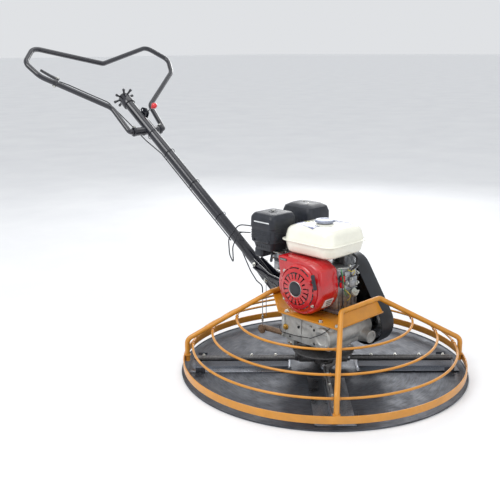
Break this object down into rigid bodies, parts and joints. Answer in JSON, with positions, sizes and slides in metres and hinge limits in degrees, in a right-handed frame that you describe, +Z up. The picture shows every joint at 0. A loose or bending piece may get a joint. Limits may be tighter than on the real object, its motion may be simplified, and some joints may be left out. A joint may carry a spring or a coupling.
{
  "type": "walk-behind power trowel",
  "caption": "Round float pan and bladed rotor under a hooped guard cage, with worm gearbox, belt drive, small engine, long handle tube and looped handlebar with controls.",
  "frame": {"origin": "centre of the float pan's underside, on the floor and on the rotor's axis", "axes": "+Z up along the rotor's axis; +Y forward, away from the operator; +X to the operator's right"},
  "size_m": [1.184, 2.1849, 1.3119],
  "materials": {
    "pan_steel": "worn bare steel sheet",
    "blade_steel": "bare spring steel",
    "cast_grey": "rough machined casting",
    "bronze": "machined bronze",
    "bright_steel": "turned steel",
    "cast_aluminium": "sand cast, partly machined",
    "engine_grey": "die cast",
    "yoke_brown": "primer over forged steel",
    "cage_orange": "gloss powder coat",
    "gloss_black": "gloss powder coat",
    "guard_black": "satin powder coat",
    "black_plastic": "fine textured moulding",
    "rubber": "moulded",
    "shroud_red": "gloss enamel",
    "switch_red": "moulded",
    "ball_red": "polished",
    "tank_cream": "gloss enamel",
    "cap_silver": "satin paint",
    "plug_grey": "moulded",
    "muffler_steel": "heat dulled sheet"
  },
  "bodies": {
    "chassis": {"gearbox_housing": "cast_aluminium", "gearbox_cover": "cast_aluminium", "engine_deck": "cage_orange", "cage_tube_front": "cage_orange", "cage_tube_rear": "cage_orange", "guard_ring": "cage_orange", "hoop_upper": "cage_orange", "hoop_middle": "cage_orange", "hoop_lower": "cage_orange", "crankcase": "engine_grey", "cylinder": "engine_grey", "fan_shroud": "shroud_red", "recoil_cover": "shroud_red", "fuel_tank": "tank_cream", "air_cleaner_base": "black_plastic", "air_cleaner_cover": "black_plastic", "muffler": "muffler_steel", "muffler_guard": "black_plastic", "carburettor": "engine_grey", "belt_guard": "guard_black", "v_belt": "rubber", "handle_bracket": "gloss_black", "handle_tube": "gloss_black", "throttle_bracket": "gloss_black", "pitch_cable": "rubber", "throttle_cable": "rubber", "grip_cable": "rubber"},
    "rotor": {"spider_hub": "cast_grey", "output_shaft": "bronze"},
    "pan": {"float_pan": "pan_steel"},
    "plate": {"pressure_plate": "cast_grey"},
    "collar": {"thrust_collar": "cast_grey"},
    "arm_1": {"trowel_arm_1": "cast_grey", "blade_1": "blade_steel"},
    "arm_2": {"trowel_arm_2": "cast_grey", "blade_2": "blade_steel"},
    "arm_3": {"trowel_arm_3": "cast_grey", "blade_3": "blade_steel"},
    "arm_4": {"trowel_arm_4": "cast_grey", "blade_4": "blade_steel"},
    "yoke": {"yoke_lever": "yoke_brown"},
    "pitch_link": {"pitch_rod": "bright_steel"},
    "knob": {"pitch_knob": "gloss_black"},
    "nut": {"pitch_nut": "bright_steel"},
    "worm": {"worm_shaft": "bright_steel", "driven_pulley": "bright_steel"},
    "crank": {"crankshaft": "bright_steel", "drive_pulley": "bright_steel", "flywheel": "bright_steel"},
    "bar": {"handlebar": "gloss_black", "grip_bracket": "gloss_black"},
    "grip": {"grip_lever": "gloss_black"},
    "throttle": {"throttle_lever": "ball_red"},
    "control": {"control_lever": "bright_steel"},
    "starter": {"starter_grip": "black_plastic"},
    "cap": {"fuel_cap": "cap_silver"},
    "dipstick": {"oil_dipstick": "plug_grey"},
    "choke": {"choke_lever": "black_plastic"},
    "valve": {"fuel_valve": "black_plastic"},
    "switch": {"engine_switch": "switch_red"}
  },
  "joints": [
    {"name": "rotor_spin", "type": "hinge", "parent": "chassis", "child": "rotor", "pos_m": [0, 0, 0.04], "axis": [0, 0, 1], "continuous": true},
    {"name": "worm_spin", "type": "hinge", "parent": "chassis", "child": "worm", "pos_m": [0, 0.105, 0.185], "axis": [1, 0, 0], "continuous": true},
    {"name": "crank_spin", "type": "hinge", "parent": "chassis", "child": "crank", "pos_m": [0, -0.01, 0.373], "axis": [1, 0, 0], "continuous": true},
    {"name": "pitch_knob_turn", "type": "hinge", "parent": "chassis", "child": "knob", "pos_m": [0, -1.32, 1.05155], "axis": [0, -0.8102, 0.5862], "range_deg": [0, 2162]},
    {"name": "pitch_nut_slide", "type": "slide", "parent": "chassis", "child": "nut", "axis": [0, -0.8102, 0.5862], "range_m": [0, 0.0325]},
    {"name": "pitch_rod_slide", "type": "slide", "parent": "chassis", "child": "pitch_link", "axis": [0, 0, 1], "range_m": [0, 0.0325]},
    {"name": "yoke_tilt", "type": "hinge", "parent": "chassis", "child": "yoke", "pos_m": [0, -0.08, 0.108], "axis": [-1, 0, 0], "range_deg": [0, 7.88]},
    {"name": "collar_slide", "type": "slide", "parent": "chassis", "child": "collar", "axis": [0, 0, -1], "range_m": [0, 0.0111]},
    {"name": "plate_slide", "type": "slide", "parent": "rotor", "child": "plate", "axis": [0, 0, -1], "range_m": [0, 0.0111]},
    {"name": "pan_drop", "type": "slide", "parent": "rotor", "child": "pan", "axis": [0, 0, -1], "range_m": [0, 0.02356]},
    {"name": "blade_pitch_1", "type": "hinge", "parent": "rotor", "child": "arm_1", "pos_m": [0.03394, 0.03394, 0.04], "axis": [-0.7071, -0.7071, 0], "range_deg": [0, 18.01]},
    {"name": "blade_pitch_2", "type": "hinge", "parent": "rotor", "child": "arm_2", "pos_m": [-0.03394, 0.03394, 0.04], "axis": [0.7071, -0.7071, 0], "range_deg": [0, 18.01]},
    {"name": "blade_pitch_3", "type": "hinge", "parent": "rotor", "child": "arm_3", "pos_m": [-0.03394, -0.03394, 0.04], "axis": [0.7071, 0.7071, 0], "range_deg": [0, 18.01]},
    {"name": "blade_pitch_4", "type": "hinge", "parent": "rotor", "child": "arm_4", "pos_m": [0.03394, -0.03394, 0.04], "axis": [-0.7071, 0.7071, 0], "range_deg": [0, 18.01]},
    {"name": "handlebar_tilt", "type": "hinge", "parent": "chassis", "child": "bar", "pos_m": [0, -1.152, 0.907], "axis": [1, 0, 0], "range_deg": [-8, 18]},
    {"name": "grip_squeeze", "type": "hinge", "parent": "bar", "child": "grip", "pos_m": [0.31974, -1.42838, 1.16026], "axis": [0, 0.6756, 0.7373], "range_deg": [0, 12], "stiffness_Nm_per_rad": 1.5},
    {"name": "throttle_turn", "type": "hinge", "parent": "chassis", "child": "throttle", "pos_m": [-0.0366, -1.19767, 0.99453], "axis": [1, 0, 0], "range_deg": [-15, 45]},
    {"name": "control_turn", "type": "hinge", "parent": "chassis", "child": "control", "pos_m": [0.024, -0.165, 0.4785], "axis": [0, 0, 1], "range_deg": [-6.1, 18.1]},
    {"name": "starter_pull", "type": "slide", "parent": "chassis", "child": "starter", "axis": [0.5525, 0.8037, 0.221], "range_m": [0, 0.5], "stiffness_N_per_m": 20},
    {"name": "fuel_cap_turn", "type": "hinge", "parent": "chassis", "child": "cap", "pos_m": [-0.02, -0.02, 0.609], "axis": [0, 0, 1], "range_deg": [0, 90]},
    {"name": "dipstick_turn", "type": "hinge", "parent": "chassis", "child": "dipstick", "pos_m": [-0.05, 0.11276, 0.33765], "axis": [0, 0.874, 0.486], "range_deg": [0, 1080]},
    {"name": "choke_swing", "type": "hinge", "parent": "chassis", "child": "choke", "pos_m": [0.0665, -0.222, 0.462], "axis": [1, 0, 0], "range_deg": [0, 60]},
    {"name": "fuel_valve_swing", "type": "hinge", "parent": "chassis", "child": "valve", "pos_m": [0.07, -0.2, 0.44], "axis": [1, 0, 0], "range_deg": [-90, 0]},
    {"name": "engine_switch_turn", "type": "hinge", "parent": "chassis", "child": "switch", "pos_m": [0.02, 0.1045, 0.41], "axis": [0, 1, 0], "range_deg": [0, 45]}
  ],
  "couplings": [
    {"joint": "worm_spin", "follows": "rotor_spin", "ratio": 24},
    {"joint": "crank_spin", "follows": "rotor_spin", "ratio": 40},
    {"joint": "pitch_knob_turn", "follows": "pan_drop", "rad_per_m": 1600},
    {"joint": "pitch_nut_slide", "follows": "pan_drop", "ratio": 1.3708},
    {"joint": "pitch_rod_slide", "follows": "pan_drop", "ratio": 1.3708},
    {"joint": "yoke_tilt", "follows": "pan_drop", "rad_per_m": 5.8333},
    {"joint": "collar_slide", "follows": "pan_drop", "ratio": 0.46667},
    {"joint": "plate_slide", "follows": "pan_drop", "ratio": 0.46667},
    {"joint": "blade_pitch_1", "follows": "pan_drop", "rad_per_m": 13.333},
    {"joint": "blade_pitch_2", "follows": "pan_drop", "rad_per_m": 13.333},
    {"joint": "blade_pitch_3", "follows": "pan_drop", "rad_per_m": 13.333},
    {"joint": "blade_pitch_4", "follows": "pan_drop", "rad_per_m": 13.333},
    {"joint": "control_turn", "follows": "throttle_turn", "ratio": 0.4}
  ]
}
